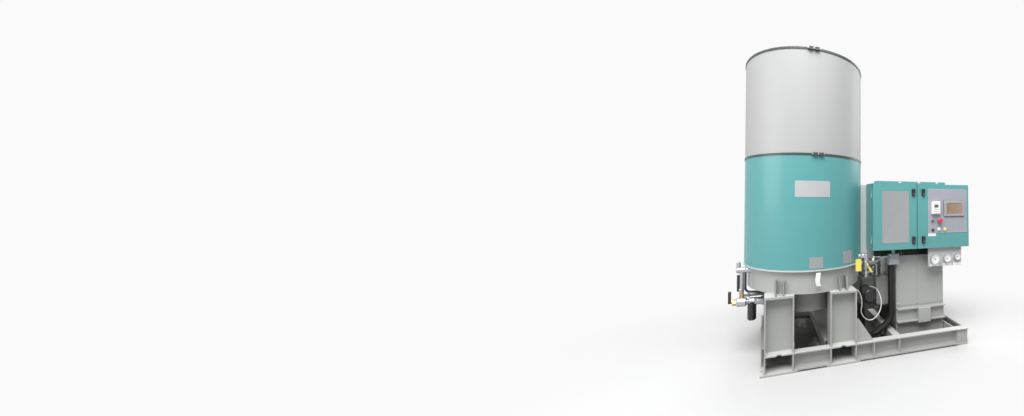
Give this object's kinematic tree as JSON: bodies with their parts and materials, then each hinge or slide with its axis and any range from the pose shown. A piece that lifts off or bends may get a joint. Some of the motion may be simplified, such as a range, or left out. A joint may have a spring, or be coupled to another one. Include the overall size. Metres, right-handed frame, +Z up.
{
  "type": "vertical steam boiler",
  "caption": "Vertical coil steam boiler with a round insulated casing on a steel skid, a hinged two-door control cabinet, feed pump, gauges and a fuel train.",
  "frame": {"origin": "on the heater casing's vertical axis at floor level, the centre of the four anchor holes", "axes": "+X along the skid toward the control cabinet, +Y from the control side to the rear, +Z up"},
  "size_m": [2.4427, 1.23, 2.961],
  "materials": {
    "skid_grey": "semi-gloss light grey enamel",
    "pan_dark": "dark grey paint in shadow",
    "casing_teal": "glossy teal enamel",
    "casing_grey": "satin light grey enamel",
    "rim_white": "white enamel edge",
    "band_dark": "dark clamp band",
    "cabinet_teal": "satin teal enamel",
    "hinge_steel": "plated steel",
    "latch_black": "black moulded plastic",
    "panel_lilac": "matt grey-lilac overlay",
    "screen_brown": "dark brown screen, off",
    "white_plastic": "white moulded plastic",
    "stop_red": "red mushroom head",
    "button_mixed": "push buttons in green, black, white and yellow",
    "bezel_grey": "light grey moulded frame",
    "brass": "plain brass",
    "cable_white": "white cable jacket",
    "plate_light": "light grey plate",
    "gauge_steel": "polished steel case",
    "junction_grey": "blue-grey enamel",
    "conduit_black": "black ribbed hose",
    "pump_grey": "grey machine enamel",
    "motor_black": "black enamel",
    "pipe_steel": "bright zinc-plated steel",
    "lever_yellow": "yellow dipped sleeve"
  },
  "bodies": {
    "base": {"back_plate": "skid_grey", "bay_beam": "skid_grey", "bottom_rim": "rim_white", "brass_unions": "brass", "burner_plenum": "skid_grey", "cabinet": "cabinet_teal", "cabinet_hinges": "hinge_steel", "cabinet_top_rail": "cabinet_teal", "cable_duct": "pan_dark", "cable_glands": "brass", "cable_loop": "cable_white", "column_braces": "skid_grey", "conduits": "conduit_black", "drip_pan": "pan_dark", "end_beam": "skid_grey", "feed_pump": "pump_grey", "flue_collar": "casing_grey", "fork_tunnels": "skid_grey", "front_columns": "skid_grey", "fuel_controls": "motor_black", "fuel_line": "pipe_steel", "fuel_riser": "pipe_steel", "gauge_plate": "plate_light", "junction_box": "junction_grey", "ledge_box": "skid_grey", "lower_casing": "casing_teal", "middle_band": "band_dark", "outlet_valve": "pipe_steel", "pedestal": "skid_grey", "pedestal_covers": "skid_grey", "pedestal_ledge": "skid_grey", "pressure_gauges": "gauge_steel", "pump_motor": "motor_black", "pump_stand": "pan_dark", "rear_columns": "skid_grey", "side_rails": "skid_grey", "skirt": "skid_grey", "skirt_cock": "pipe_steel", "top_band": "band_dark", "top_cover": "casing_grey", "upper_casing": "casing_grey", "water_pipes": "pipe_steel"},
    "left_door": {"left_door": "cabinet_teal", "left_door_latches": "latch_black"},
    "right_door": {"right_door": "cabinet_teal", "right_door_latches": "latch_black", "control_panel": "panel_lilac", "screen_bezel": "bezel_grey", "touch_screen": "screen_brown", "burner_controller": "white_plastic", "stop_button": "stop_red", "control_buttons": "button_mixed"},
    "valve_lever": {"valve_lever": "lever_yellow"}
  },
  "joints": [
    {"name": "left_door_hinge", "type": "hinge", "parent": "base", "child": "left_door", "pos_m": [0.594, -0.4525, 1.3175], "axis": [0, 0, -1], "range_deg": [0, 120]},
    {"name": "right_door_hinge", "type": "hinge", "parent": "base", "child": "right_door", "pos_m": [1.712, -0.4525, 1.3175], "axis": [0, 0, 1], "range_deg": [0, 120]},
    {"name": "valve_lever_turn", "type": "hinge", "parent": "base", "child": "valve_lever", "pos_m": [0.583, -0.355, 0.831], "axis": [0, -1, 0], "range_deg": [-34, 56]}
  ]
}
